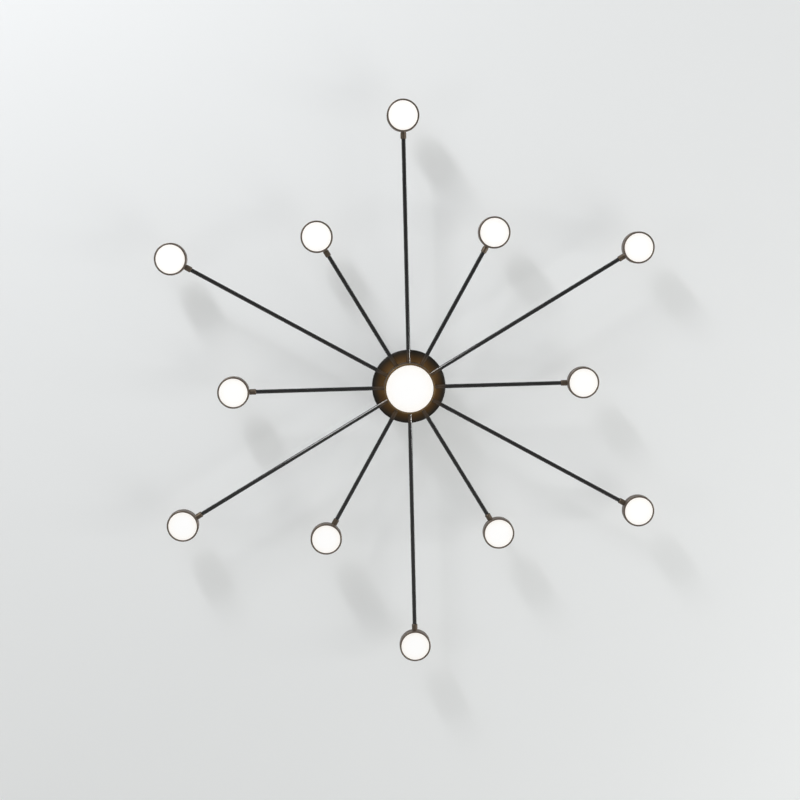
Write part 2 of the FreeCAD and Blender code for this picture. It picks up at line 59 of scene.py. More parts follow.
# Boxes of the frame's nodes: a lowest and a highest corner each. Arm 1 and head 1 lie along X.
cup_low, cup_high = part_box("ceiling_cup")
plate_low, plate_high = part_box("hub_plate")
drum_low, drum_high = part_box("lamp_body")
lamp_low, lamp_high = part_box("lamp_diffuser")
casing_low, casing_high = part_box("head_casing_01")
disc_low, disc_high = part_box("head_diffuser_01")
block_low, block_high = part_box("terminal_block")
cup_screw_low, cup_screw_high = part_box("cup_screws")
hub_screw_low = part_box("hub_screws")[0]

rod_height = (casing_low.z + casing_high.z) / 2
rod_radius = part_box("arm_01")[1].y
coupler_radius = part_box("arm_couplers")[1].z - rod_height
head_radius = casing_high.y
disc_radius = disc_high.y
rod_axis_start = (0, 0, rod_height)

# Edges and walls that no box of the frame gives
SOFT_EDGE = 0.25 * MM
TURNED_EDGE = 0.6 * MM
LEAST_EDGE = 0.02 * MM
HEAD_BACK = 1.5 * MM
HEAD_LEDGE = 1.2 * MM
OPAL_GAP = 0.15 * MM
OPAL_EDGE = 0.5 * MM
LAMP_LEDGE = 1.6 * MM
LAMP_WEB = 2.0 * MM
SOCKET_RING_WALL = 10.0 * MM
SOCKET_RING_HEIGHT = 15.0 * MM
PLATE_WALL = 1.2 * MM
PLATE_EDGE_RADIUS = 3.5 * MM
CUP_WALL = 1.2 * MM
CUP_EDGE_RADIUS = 2.5 * MM
ROD_WALL = 0.8 * MM
COUPLER_LENGTH = 9.5 * MM
COUPLER_CHAMFER = 0.9 * MM
SWIVEL_PLAY = 0.1 * MM
BOSS_LENGTH = 1.0 * MM
BOSS_RADIUS = 4.1 * MM
SPIGOT_RADIUS = 2.3 * MM
SPIGOT_FIT = 0.05 * MM
WIRE_BORE_RADIUS = 1.3 * MM

# Screws of the cup and the hub, and the smaller ones over the terminal block's poles
SCREW_HEAD_RADIUS = 3.5 * MM
SCREW_HEAD_HEIGHT = 2.4 * MM
SCREW_RADIUS = 2.0 * MM
CUP_SCREW_LENGTH = 6.0 * MM
HUB_SCREW_COUNT = 3
HUB_SCREW_ANGLE = math.radians(75)
POLE_SPACING = 6.0 * MM
POLE_WELL_DEPTH = 5.0 * MM
POLE_SCREW_RADIUS = 1.65 * MM
POLE_SCREW_HEIGHT = 1.2 * MM

# Scales of the noises in the finishes: clouds of tone, fine grain, and lathe rings along a profile
CLOUD = 60
PLATE_CLOUD = 45
ZINC_CLOUD = 120
CASE_CLOUD = 90
BOARD_CLOUD = 200
CEILING_CLOUD = 3
PEEL = 1400
GRIT = 5200
OPAL_HAZE = 350
ZINC_SCUFF = 2600
BRACKET_SPANGLE = 260
SCREW_SPANGLE = 900
CASE_GRAIN = 3800
BOARD_GRAIN = 4200
ROLLER_STIPPLE = 420
FINE_RINGS = 9000
BROAD_RINGS = 1500

# Distances from the axis between which the lit lamp's glow, painted into the colour of its own rim, the arms and
# the plate, fades
RIM_GLOW = (drum_high.x, drum_high.x + 6 * MM)
ARM_GLOW = (drum_high.x + 7 * MM, plate_high.x + 3 * MM)
PLATE_GLOW = (drum_high.x - 2 * MM, plate_high.x - 1 * MM)
PLATE_GLOW_STRAY = 4 * MM

# Painted glow of the lit lamp on the plate's front: a tone at each share of the way out through it
PLATE_TONES = (
    (0.08, (0.148, 0.090, 0.040)),
    (0.25, (0.120, 0.067, 0.024)),
    (0.50, (0.082, 0.045, 0.018)),
    (0.75, (0.042, 0.030, 0.018)),
    (0.92, (0.023, 0.019, 0.015)),
    (0.98, (0.008, 0.006, 0.005)),
)


# Shader maths


class Shade:
    """A socket of a node tree. Arithmetic on it adds Math nodes, and node() adds any other node."""

    def __init__(self, tree, socket=None):
        self.tree = tree
        self.socket = socket

    def node(self, kind, sockets=None, out=0, stops=(), **settings):
        """A new node: its settings first, then the values or links of its sockets. Gives one output."""
        made = self.tree.nodes.new(kind)
        for name, value in settings.items():
            setattr(made, name, value)
        for place, (position, colour) in enumerate(stops):
            ramp = made.color_ramp.elements
            stop = ramp[place] if place < len(ramp) else ramp.new(position)
            stop.position = position
            stop.color = as_colour(colour)
        for key, value in (sockets or {}).items():
            if isinstance(value, Shade):
                self.tree.links.new(value.socket, made.inputs[key])
            else:
                made.inputs[key].default_value = value
        return Shade(self.tree, made.outputs[out] if made.outputs else None)

    def maths(self, operation, *values):
        return self.node("ShaderNodeMath", dict(enumerate(values)), operation=operation)

    def __add__(self, other):
        return self.maths("ADD", self, other)

    def __sub__(self, other):
        return self.maths("SUBTRACT", self, other)

    def __rsub__(self, other):
        return self.maths("SUBTRACT", other, self)

    def __mul__(self, other):
        return self.maths("MULTIPLY", self, other)

    __radd__ = __add__
    __rmul__ = __mul__

    def eased(self, low, high):
        """0 below low, 1 above high, and a smooth step between them."""
        ends = {"From Min": low, "From Max": high, "Value": self}
        return self.node("ShaderNodeMapRange", ends, interpolation_type="SMOOTHSTEP")

    def between(self, first, second):
        """A colour that goes from first to second as this value goes from 0 to 1."""
        sockets = {"Factor": self, 6: as_colour(first), 7: as_colour(second)}
        return self.node("ShaderNodeMix", sockets, out=2, data_type="RGBA")

    def noise(self, coordinates, scale, detail=2.0):
        sockets = {"Vector": coordinates, "Scale": scale, "Detail": detail}
        return self.node("ShaderNodeTexNoise", sockets)

    def rings(self, scale):
        """Noise along a turned piece's profile, the same all round it, as a lathe leaves it."""
        sockets = {"W": self.attribute("along") * scale, "Detail": 3.0}
        return self.node("ShaderNodeTexNoise", sockets, noise_dimensions="1D")

    def own_place(self):
        """Coordinates of the piece itself, in metres of the light's frame."""
        return self.node("ShaderNodeTexCoord", out="Object")

    def own_height(self):
        return self.node("ShaderNodeSeparateXYZ", {0: self.own_place()}, out="Z")

    def from_axis(self):
        """Distance from the lamp's axis."""
        without_height = {0: self.own_place(), 1: (1, 1, 0)}
        flat = self.node("ShaderNodeVectorMath", without_height, operation="MULTIPLY")
        return self.node("ShaderNodeVectorMath", {0: flat}, out="Value", operation="LENGTH")

    def attribute(self, name):
        return self.node("ShaderNodeAttribute", out="Fac", attribute_name=name)

    def relief(self, height, depth, strength):
        sockets = {"Height": height, "Distance": depth, "Strength": strength}
        return self.node("ShaderNodeBump", sockets)

    def surface(self, sockets):
        return self.node("ShaderNodeBsdfPrincipled", sockets)


def as_colour(value):
    """Three numbers as an opaque colour. A shaded colour stays as it is."""
    return value if isinstance(value, Shade) else (*value, 1)


def new_finish(name):
    """A material with an empty tree, and the Shade that its finish is written with."""
    material = bpy.data.materials.new(name)
    material.use_nodes = True
    material.node_tree.nodes.clear()
    return material, Shade(material.node_tree)


def close_finish(shade, shader):
    shade.node("ShaderNodeOutputMaterial", {"Surface": shader})


# Finishes


def black_coat(name, dark, light, gloss, gloss_roughness, lamp_glow):
    """Powder coat of the arms and the cup: near black, with orange peel and edges where it is thin.

    Its gloss is a clear top layer. Where the lit lamp shines on an arm's underside, close to the axis,
    its light is painted into the coat as a warmer colour, by lamp_glow, and the gloss is thinner there.
    """
    thin_tone = (0.060, 0.056, 0.052)
    # Colour of the lit lamp's glow, painted on the arms
    painted_glow_tone = (0.070, 0.041, 0.018)
    material, shade = new_finish(name)
    place = shade.own_place()
    cloud = shade.noise(place, CLOUD, 3)
    peel = shade.noise(place, PEEL)
    grit = shade.noise(place, GRIT, 1)
    # Painted glow: the lower half of each arm near the axis, where the gloss is also thinner
    underside = 1 - shade.own_height().eased(rod_height - rod_radius / 2, rod_height + rod_radius / 2)
    painted_glow_mask = underside * (1 - shade.from_axis().eased(*ARM_GLOW))
    worn = shade.attribute("edge") * cloud.eased(0.45, 0.7)
    warm = (painted_glow_mask * lamp_glow).between(cloud.between(dark, light), painted_glow_tone)
    shader = shade.surface({
        "Base Color": (worn * 0.5).between(warm, thin_tone),
        "Roughness": 0.42 + cloud * 0.10 + grit * 0.06,
        "Specular IOR Level": 0.05,
        "Coat Weight": (gloss + cloud * 0.16) * (1 - painted_glow_mask * (0.3 * lamp_glow)),
        "Coat Roughness": gloss_roughness,
        "Coat IOR": 1.6,
        "Normal": shade.relief(peel * 0.7 + grit * 0.3, depth=0.03 * MM, strength=0.10),
    })
    close_finish(shade, shader)
    return material


def bronze_plate_coat_and_glow():
    """Dark bronze lacquer of the round plate, with the lit lamp's glow painted warm on its front."""
    worn_tone = (0.060, 0.048, 0.036)
    material, shade = new_finish("bronze_plate_coat_and_glow")
    place = shade.own_place()
    cloud = shade.noise(place, PLATE_CLOUD, 4)
    peel = shade.noise(place, PEEL)
    grit = shade.noise(place, GRIT, 1)
    # Painted glow of the lit lamp on the plate's front, fading outwards through the tones
    glow_start, glow_end = PLATE_GLOW
    ragged = (cloud - 0.5) * PLATE_GLOW_STRAY
    outward = (shade.from_axis() + ragged - glow_start) * (1 / (glow_end - glow_start))
    lit = shade.node("ShaderNodeValToRGB", {"Fac": outward}, stops=PLATE_TONES)
    unlit = cloud.between((0.010, 0.008, 0.007), (0.020, 0.016, 0.012))
    # Above the front skin the plate keeps the plain lacquer, with no painted glow
    behind = shade.own_height().eased(plate_low.z + 0.3 * MM, plate_low.z + PLATE_WALL)
    worn = shade.attribute("edge") * cloud.eased(0.5, 0.75)
    shader = shade.surface({
        "Base Color": (worn * 0.12).between(behind.between(lit, unlit), worn_tone),
        "Roughness": 0.40 + cloud * 0.12 + grit * 0.05,
        "Specular IOR Level": 0.1,
        "Normal": shade.relief(peel * 0.7 + grit * 0.3, depth=0.04 * MM, strength=0.35),
    })
    close_finish(shade, shader)
    return material


def turned_bronze(name, dark, light, rubbed):
    """Satin bronze on turned aluminium: lathe rings, clouds of tone, and edges that are rubbed brighter.

    The lamp's light is painted warmer on its own drum's front rim near the axis, where no edge is rubbed.
    """
    # Colour of the lit lamp's glow, painted on the drum's front rim
    painted_glow_tone = (0.170, 0.108, 0.050)
    material, shade = new_finish(name)
    place = shade.own_place()
    cloud = shade.noise(place, CLOUD, 3)
    grit = shade.noise(place, GRIT, 1)
    rings = shade.rings(FINE_RINGS) * 0.6 + shade.rings(BROAD_RINGS) * 0.4
    # Painted glow: the drum's front rim close to the axis
    front = 1 - shade.own_height().eased(drum_low.z + TURNED_EDGE, drum_low.z + 3 * TURNED_EDGE)
    painted_glow_mask = front * (1 - shade.from_axis().eased(*RIM_GLOW))
    worn = shade.attribute("edge") * (0.35 + cloud.eased(0.4, 0.7) * 0.65)
    warm = painted_glow_mask.between((cloud * 0.5 + rings * 0.5).between(dark, light), painted_glow_tone)
    shader = shade.surface({
        "Base Color": (worn * (0.40 - painted_glow_mask * 0.40)).between(warm, rubbed),
        "Metallic": 0.9,
        "Roughness": 0.35 + rings * 0.08 + cloud * 0.06,
        "Normal": shade.relief(rings * 0.8 + grit * 0.2, depth=0.02 * MM, strength=0.3),
    })
    close_finish(shade, shader)
    return material


def lit_opal():
    """Opal acrylic with the LEDs on behind it: white, and creamier where it thins out at its rim."""
    white_light = (1.0, 0.99, 0.98)
    cream_light = (0.96, 0.85, 0.70)
    material, shade = new_finish("lit_opal")
    haze = shade.noise(shade.own_place(), OPAL_HAZE, 3)
    rim = shade.attribute("spread").eased(0.55, 1.02) + (haze - 0.5) * 0.04
    shader = shade.surface({
        "Base Color": haze.between((0.765, 0.763, 0.757), (0.815, 0.813, 0.807)),
        "Roughness": 0.38 + haze * 0.12,
        "Normal": shade.relief(haze, depth=0.02 * MM, strength=0.2),
        "Emission Color": rim.between(white_light, cream_light),
        "Emission Strength": 0.29,
    })
    close_finish(shade, shader)
    return material


def zinc_plate(name, tint, spangle_scale):
    """Zinc plated steel: faint spangle, fine scuffs and a passivation that is yellowish in clouds."""
    dark = [part * 0.72 for part in tint]
    yellow = [tint[0] * 1.02, tint[1] * 0.94, tint[2] * 0.76]
    material, shade = new_finish(name)
    place = shade.own_place()
    cells = {"Vector": place, "Scale": spangle_scale}
    spangle = shade.node("ShaderNodeTexVoronoi", cells, out="Color")
    grain = shade.node("ShaderNodeSeparateColor", {0: spangle})
    cloud = shade.noise(place, ZINC_CLOUD, 4)
    scuff = shade.noise(place, ZINC_SCUFF)
    metal = (grain * 0.5 + cloud * 0.5).between(dark, tint)
    shader = shade.surface({
        "Base Color": (cloud.eased(0.55, 0.8) * 0.6).between(metal, yellow),
        "Metallic": 0.9,
        "Roughness": 0.30 + grain * 0.10 + scuff * 0.14,
        "Normal": shade.relief(scuff * 0.6 + grain * 0.4, depth=0.03 * MM, strength=0.4),
    })
    close_finish(shade, shader)
    return material


def moulded_plastic(name, light, dark):
    """Moulded plastic with a fine spark-eroded grain and slight clouds of tone."""
    material, shade = new_finish(name)
    place = shade.own_place()
    cloud = shade.noise(place, CASE_CLOUD, 4)
    grain = shade.noise(place, CASE_GRAIN)
    shader = shade.surface({
        "Base Color": (cloud * 0.7 + grain * 0.3).between(dark, light),
        "Roughness": 0.42 + grain * 0.16,
        "Normal": shade.relief(grain, depth=0.04 * MM, strength=0.5),
    })
    close_finish(shade, shader)
    return material


def solder_mask():
    """White board of the LEDs, its mask a little uneven in tone and grain."""
    material, shade = new_finish("solder_mask")
    place = shade.own_place()
    cloud = shade.noise(place, BOARD_CLOUD, 3)
    grain = shade.noise(place, BOARD_GRAIN)
    shader = shade.surface({
        "Base Color": (cloud * 0.6 + grain * 0.4).between((0.72, 0.73, 0.70), (0.84, 0.85, 0.82)),
        "Roughness": 0.34 + grain * 0.12,
        "Normal": shade.relief(grain, depth=0.02 * MM, strength=0.4),
    })
    close_finish(shade, shader)
    return material


def ceiling_paint():
    """Matt white ceiling with a roller's texture. Seen from above it is clear."""
    dull = (0.815, 0.828, 0.824)
    fresh = (0.835, 0.846, 0.844)
    material, shade = new_finish("ceiling_paint")
    place = shade.own_place()
    cloud = shade.noise(place, CEILING_CLOUD, 3)
    stipple = shade.noise(place, ROLLER_STIPPLE)
    paint = shade.surface({
        "Base Color": (cloud * 0.8 + stipple * 0.2).between(dull, fresh),
        "Roughness": 0.9,
        "Specular IOR Level": 0.1,
        "Normal": shade.relief(stipple, depth=0.06 * MM, strength=0.25),
    })
    from_above = shade.node("ShaderNodeNewGeometry", out="Backfacing")
    clear = shade.node("ShaderNodeBsdfTransparent")
    close_finish(shade, shade.node("ShaderNodeMixShader", {0: from_above, 1: paint, 2: clear}))
    return material


# Turned surfaces

# A closed surface: its points, their normals or None, their marks and blocks of faces
Shell = namedtuple("Shell", "points normals marks faces")
MARKS = ("along", "edge", "spread")
SHARP_FROM = math.radians(35)


def rounded_profile(corners, closed, steps):
    """Points, normals and edge marks of a profile with rounded corners.

    A corner is (radius, height, rounding). Its arc touches both of its edges, so the arc's middle lies
    on the corner's bisector, rounding / sin(half the corner's angle) away, and points are spread evenly
    along it. An open profile starts and ends on the axis. The profile is put counter-clockwise first, so
    that its normals, the tangent turned to the right, point outwards.
    """
    corners = np.array(corners, float)
    ahead = np.roll(corners, -1, axis=0)
    turn = corners[:, 0] * ahead[:, 1] - ahead[:, 0] * corners[:, 1]
    if turn.sum() < 0:
        corners = corners[::-1]
    middle = corners if closed else corners[1:-1]
    before = (np.roll(corners, 1, axis=0) if closed else corners[:-2])[:, :2] - middle[:, :2]
    after = (np.roll(corners, -1, axis=0) if closed else corners[2:])[:, :2] - middle[:, :2]
    before /= np.linalg.norm(before, axis=1)[:, None]
    after /= np.linalg.norm(after, axis=1)[:, None]
    half = np.arccos(np.clip((before * after).sum(1), -1, 1)) / 2
    rounding = np.maximum(middle[:, 2], LEAST_EDGE)
    bisector = before + after
    bisector /= np.linalg.norm(bisector, axis=1)[:, None]
    centre = middle[:, :2] + bisector * (rounding / np.sin(half))[:, None]
    touch = rounding / np.tan(half)
    first = middle[:, :2] + before * touch[:, None] - centre
    last = middle[:, :2] + after * touch[:, None] - centre
    sweep = math.pi - 2 * half
    share = np.linspace(0, 1, steps)[None, :]
    weigh_first = np.sin((1 - share) * sweep[:, None]) / np.sin(sweep)[:, None]
    weigh_last = np.sin(share * sweep[:, None]) / np.sin(sweep)[:, None]
    spoke = weigh_first[:, :, None] * first[:, None, :] + weigh_last[:, :, None] * last[:, None, :]
    outwards = np.sign(before[:, 0] * after[:, 1] - before[:, 1] * after[:, 0])
    points = (centre[:, None, :] + spoke).reshape(-1, 2)
    normals = (-outwards[:, None, None] * spoke / rounding[:, None, None]).reshape(-1, 2)
    convex = (outwards < 0).astype(float)
    edges = (convex[:, None] * np.sin(share * math.pi)).reshape(-1)
    if not closed:
        ends = corners[[0, -1], :2]
        points = np.vstack([ends[:1], points, ends[1:]])
        normals = np.vstack([normals[:1], normals, normals[-1:]])
        edges = np.concatenate([[0], edges, [0]])
    return points, normals, edges


def across(axis):
    """Two unit vectors square to an axis and to each other, right-handed with it."""
    helper = UP if abs(axis[2]) < 0.9 else np.array([1.0, 0.0, 0.0])
    first = np.cross(helper, axis)
    first /= np.linalg.norm(first)
    return first, np.cross(axis, first)


def joined_rings(rings, segments, poles):
    """Faces of rings of points, each closed round: two neighbours join the same two of the next ring.

    With poles, the points after the last ring are two poles, joined by fans to the first and the last
    ring. Without, the last ring joins the first.
    """
    index = np.arange(rings * segments).reshape(rings, segments)
    beside = np.roll(index, -1, axis=1)
    following = np.roll(index, -1, axis=0)
    diagonal = np.roll(beside, -1, axis=0)
    quads = np.stack([index, beside, diagonal, following], axis=2)
    if not poles:
        return [quads.reshape(-1, 4)]
    first_pole = np.full(segments, rings * segments)
    last_pole = first_pole + 1
    return [
        quads[:-1].reshape(-1, 4),
        np.stack([first_pole, beside[0], index[0]], axis=1),
        np.stack([index[-1], beside[-1], last_pole], axis=1),
    ]


def with_poles(grid):
    """The values of a grid's inner rings, then those of the two points that its end rings shrink to."""
    return np.vstack([grid[1:-1].reshape(-1, 3), grid[0, :1], grid[-1, :1]])


def turned(corners, origin=(0, 0, 0), axis=UP, closed=False, segments=96, steps=7):
    """A profile turned about an axis: origin + height * axis + radius * spoke, at each angle t.

    A spoke is cos t * first + sin t * second, with two unit vectors square to the axis. Each ring is one
    point of the profile, and an open profile's ends are poles on the axis. The marks are the length along
    the profile, 1 on a convex edge, and the share of the greatest radius.
    """
    profile, slopes, edges = rounded_profile(corners, closed, steps)
    axis = np.array(axis, float)
    first, second = across(axis)
    angle = np.arange(segments) * 2 * math.pi / segments
    spokes = np.cos(angle)[:, None] * first + np.sin(angle)[:, None] * second
    radius = profile[:, 0, None, None]
    height = profile[:, 1, None, None]
    points = np.array(origin, float) + height * axis + radius * spokes
    normals = slopes[:, 1, None, None] * axis + slopes[:, 0, None, None] * spokes
    lengths = np.linalg.norm(np.diff(profile, axis=0), axis=1)
    along = np.concatenate([[0], np.cumsum(lengths)])
    spread = profile[:, 0] / profile[:, 0].max()
    marks = np.stack([along, edges, spread], axis=1)[:, None, :].repeat(segments, axis=1)
    if closed:
        grids = [grid.reshape(-1, 3) for grid in (points, normals, marks)]
        return Shell(*grids, joined_rings(len(profile), segments, poles=False))
    grids = [with_poles(grid) for grid in (points, normals, marks)]
    return Shell(*grids, joined_rings(len(profile) - 2, segments, poles=True))


# Drives of a screw's head: each slot's turn, half length and half width as shares of the head's radius
CROSS_DRIVE = ((0.0, 0.56, 0.13), (math.pi / 2, 0.56, 0.13))
SLOT_DRIVE = ((0.6, 1.2, 0.16),)
SLOT_END_SLOPE = 0.08
SLOT_SIDE_SLOPE = 0.05
SLOT_DEPTH = 0.5
DOME_FALL = 0.45


def driven_head(radius, height, drive, seat, axis, rings=22, segments=72):
    """A screw's head above its seat: rings of distance and angle about the screw's axis.

    Its height is a flattened dome, height * (1 - fall * share ** 4) at that share of the radius, less
    the depth of a recess where the point lies in one of the drive's slots, whose walls slope. The last
    ring, at the seat, is the foot of the side. A pole in the middle of the seat closes the underside.
    """
    axis = np.array(axis, float)
    first, second = across(axis)
    share = np.linspace(0, 1, rings)[:, None]
    angle = np.arange(segments)[None, :] * 2 * math.pi / segments
    right = share * np.cos(angle)
    ahead = share * np.sin(angle)
    recess = np.zeros_like(right)
    for turn, length, width in drive:
        run = np.abs(right * math.cos(turn) + ahead * math.sin(turn))
        side = np.abs(ahead * math.cos(turn) - right * math.sin(turn))
        from_end = np.clip((length - run) / SLOT_END_SLOPE, 0, 1)
        from_side = np.clip((width - side) / SLOT_SIDE_SLOPE, 0, 1)
        recess = np.maximum(recess, from_end * from_side)
    top = height * (1 - DOME_FALL * share**4 - SLOT_DEPTH * recess)
    lifted = np.vstack([top, np.zeros((2, segments))])
    right = radius * np.vstack([right, right[-1:], 0 * right[-1:]])
    ahead = radius * np.vstack([ahead, ahead[-1:], 0 * ahead[-1:]])
    points = np.array(seat, float) + right[:, :, None] * first + ahead[:, :, None] * second
    points = (points + lifted[:, :, None] * axis)[::-1]
    faces = joined_rings(rings, segments, poles=True)
    return Shell(with_poles(points), None, with_poles(0 * points), faces)


def pan_screw(seat, axis, length):
    """A cross-driven pan-head screw: its head above the seat, its plain shank below it."""
    shank = turned(
        [
            (0, SOFT_EDGE, 0),
            (SCREW_RADIUS, SOFT_EDGE, LEAST_EDGE),
            (SCREW_RADIUS, -length, SOFT_EDGE),
            (0, -length, 0),
        ],
        seat,
        axis,
        segments=32,
        steps=4,
    )
    return [driven_head(SCREW_HEAD_RADIUS, SCREW_HEAD_HEIGHT, CROSS_DRIVE, seat, axis), shank]


def new_piece(name, shells, finish, body, replaced=()):
    """One object of the light from one or more closed shells, riding on a body."""
    mesh = bpy.data.meshes.new(name)
    starts = np.cumsum([0, *[len(shell.points) for shell in shells]])
    faces = []
    for start, shell in zip(starts, shells):
        for block in shell.faces:
            faces += (block + start).tolist()
    mesh.from_pydata(np.vstack([shell.points for shell in shells]).tolist(), [], faces)
    marks = np.vstack([shell.marks for shell in shells]).astype(np.float32)
    for column, mark in enumerate(MARKS):
        stored = mesh.attributes.new(mark, "FLOAT", "POINT")
        stored.data.foreach_set("value", np.ascontiguousarray(marks[:, column]))
    mesh.polygons.foreach_set("use_smooth", np.ones(len(mesh.polygons), bool))
    if all(shell.normals is not None for shell in shells):
        normals = np.vstack([shell.normals for shell in shells])
        mesh.normals_split_custom_set_from_vertices(normals.tolist())
    else:
        mesh.set_sharp_from_angle(angle=SHARP_FROM)
    mesh.materials.append(finish)
    piece = bpy.data.objects.new(name, mesh)
    bpy.context.scene.collection.objects.link(piece)
    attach(piece, body)
    if replaced:
        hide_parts(*replaced)


arm_coat_and_painted_glow = black_coat(
    "arm_coat_and_painted_glow",
    dark=(0.0034, 0.0031, 0.0028),
    light=(0.0064, 0.0060, 0.0055),
    gloss=0.56,
    gloss_roughness=0.12,
    lamp_glow=0.8,
)
cup_coat = black_coat(
    "cup_coat",
    dark=(0.0085, 0.0082, 0.0078),
    light=(0.0135, 0.0130, 0.0125),
    gloss=0.26,
    gloss_roughness=0.28,
    lamp_glow=0.0,
)
plate_lacquer_and_glow = bronze_plate_coat_and_glow()
bronze = turned_bronze(
    "turned_bronze",
    dark=(0.150, 0.126, 0.103),
    light=(0.255, 0.220, 0.184),
    rubbed=(0.30, 0.26, 0.22),
)
head_bronze = turned_bronze(
    "head_bronze",
    dark=(0.108, 0.085, 0.068),
    light=(0.182, 0.149, 0.122),
    rubbed=(0.22, 0.18, 0.15),
)
dark_bronze = turned_bronze(
    "dark_bronze",
    dark=(0.068, 0.051, 0.037),
    light=(0.110, 0.086, 0.064),
    rubbed=(0.16, 0.13, 0.10),
)
opal = lit_opal()
bracket_zinc = zinc_plate("bracket_zinc", (0.62, 0.63, 0.62), BRACKET_SPANGLE)
screw_zinc = zinc_plate("screw_zinc", (0.56, 0.57, 0.57), SCREW_SPANGLE)
driver_case = moulded_plastic("driver_case", light=(0.78, 0.78, 0.76), dark=(0.68, 0.68, 0.66))
block_case = moulded_plastic("block_case", light=(0.84, 0.83, 0.78), dark=(0.74, 0.73, 0.68))
board_mask = solder_mask()

# Middle of the light: cup, plate, lamp drum and its opal disc


def pressed_dish(low, high, wall, edge_radius, segments, steps):
    """A dish of even wall, open upwards, with a rounded edge between its floor and its side.

    Its profile goes out along the floor, up the side, and back inside it a wall's thickness away.
    """
    radius = high.x
    return turned(
        [
            (0, low.z, 0),
            (radius, low.z, edge_radius),
            (radius, high.z, SOFT_EDGE),
            (radius - wall, high.z, SOFT_EDGE),
            (radius - wall, low.z + wall, edge_radius - wall),
            (0, low.z + wall, 0),
        ],
        segments=segments,
        steps=steps,
    )


def lamp_drum():
    """The lamp's drum: a ring that the arms run into, a web, and a cup with a ledge for the opal disc.

    Its profile goes out under the web, down to the ledge and the front rim, up the outer wall, and down
    the ring's bore to the top of the web.
    """
    radius = drum_high.x
    inside = lamp_high.x - LAMP_LEDGE
    seat = lamp_high.x + OPAL_GAP
    ring_bore = radius - SOCKET_RING_WALL
    web_top = drum_high.z - SOCKET_RING_HEIGHT
    web_underside = web_top - LAMP_WEB
    return turned(
        [
            (0, web_underside, 0),
            (inside, web_underside, SOFT_EDGE),
            (inside, lamp_high.z, SOFT_EDGE),
            (seat, lamp_high.z, SOFT_EDGE),
            (seat, drum_low.z, SOFT_EDGE),
            (radius, drum_low.z, TURNED_EDGE),
            (radius, drum_high.z, SOFT_EDGE),
            (ring_bore, drum_high.z, SOFT_EDGE),
            (ring_bore, web_top, SOFT_EDGE),
            (0, web_top, 0),
        ],
        segments=144,
    )


def opal_disc(radius, low, high, middle=(0, 0, 0)):
    """A flat opal disc with a soft front edge."""
    return turned(
        [
            (0, low, 0),
            (radius, low, OPAL_EDGE),
            (radius, high, SOFT_EDGE),
            (0, high, 0),
        ],
        middle,
        segments=144,
    )


cup = pressed_dish(cup_low, cup_high, CUP_WALL, CUP_EDGE_RADIUS, segments=144, steps=7)
plate = pressed_dish(plate_low, plate_high, PLATE_WALL, PLATE_EDGE_RADIUS, segments=160, steps=13)
lamp_disc = opal_disc(lamp_high.x, lamp_low.z, lamp_high.z)
new_piece("cup_shell", [cup], cup_coat, FRAME_BODY, ["ceiling_cup"])
new_piece("hub_dish", [plate], plate_lacquer_and_glow, FRAME_BODY, ["hub_plate"])
new_piece("lamp_drum", [lamp_drum()], bronze, FRAME_BODY, ["lamp_body"])
new_piece("lamp_opal", [lamp_disc], opal, FRAME_BODY, ["lamp_diffuser"])

# Arms, couplers and heads, each along its own joint's axis


def arm_tube(root, tip, axis):
    """A round tube from its root to its tip along its axis: outer wall, tip, bore and root turned."""
    bore = rod_radius - ROD_WALL
    return turned(
        [
            (rod_radius, root, SOFT_EDGE),
            (rod_radius, tip, SOFT_EDGE),
            (bore, tip, SOFT_EDGE),
            (bore, root, SOFT_EDGE),
        ],
        rod_axis_start,
        axis,
        closed=True,
        segments=48,
        steps=4,
    )


def coupler(face, rod_tip, axis):
    """A turned coupler between a rod's tip and its head's boss, chamfered on the rod's side.

    Its profile goes along the outside to the face, along the spigot to its tip, and back through the
    wire's bore to the socket that holds the rod.
    """
    back = face - COUPLER_LENGTH
    spigot_tip = face + BOSS_LENGTH + HEAD_BACK
    return turned(
        [
            (rod_radius, back, LEAST_EDGE),
            (coupler_radius - COUPLER_CHAMFER, back, LEAST_EDGE),
            (coupler_radius, back + COUPLER_CHAMFER, SOFT_EDGE),
            (coupler_radius, face, SOFT_EDGE),
            (SPIGOT_RADIUS, face, SOFT_EDGE / 2),
            (SPIGOT_RADIUS, spigot_tip, SOFT_EDGE),
            (WIRE_BORE_RADIUS, spigot_tip, SOFT_EDGE),
            (WIRE_BORE_RADIUS, rod_tip, SOFT_EDGE),
            (rod_radius, rod_tip, SOFT_EDGE),
        ],
        rod_axis_start,
        axis,
        closed=True,
        segments=64,
        steps=5,
    )


def head_cup(middle):
    """A head's turned cup: back, wall, rim, and the ledge that its opal disc sits on.

    Its profile goes out inside the back, down to the ledge and the rim, up the wall, and in again over
    the back.
    """
    inside = disc_radius - HEAD_LEDGE
    seat = disc_radius + OPAL_GAP
    return turned(
        [
            (0, casing_high.z - HEAD_BACK, 0),
            (inside, casing_high.z - HEAD_BACK, SOFT_EDGE),
            (inside, disc_high.z, SOFT_EDGE),
            (seat, disc_high.z, SOFT_EDGE),
            (seat, casing_low.z, SOFT_EDGE),
            (head_radius, casing_low.z, TURNED_EDGE),
            (head_radius, casing_high.z, TURNED_EDGE),
            (0, casing_high.z, 0),
        ],
        middle,
        segments=144,
    )


def boss(face, axis):
    """The bored boss on a head's wall that turns against its coupler."""
    bore = SPIGOT_RADIUS + SPIGOT_FIT
    root = face + BOSS_LENGTH + HEAD_BACK
    return turned(
        [
            (bore, face, SOFT_EDGE / 2),
            (BOSS_RADIUS, face, SOFT_EDGE),
            (BOSS_RADIUS, root, SOFT_EDGE),
            (bore, root, SOFT_EDGE),
        ],
        rod_axis_start,
        axis,
        closed=True,
        segments=64,
        steps=5,
    )


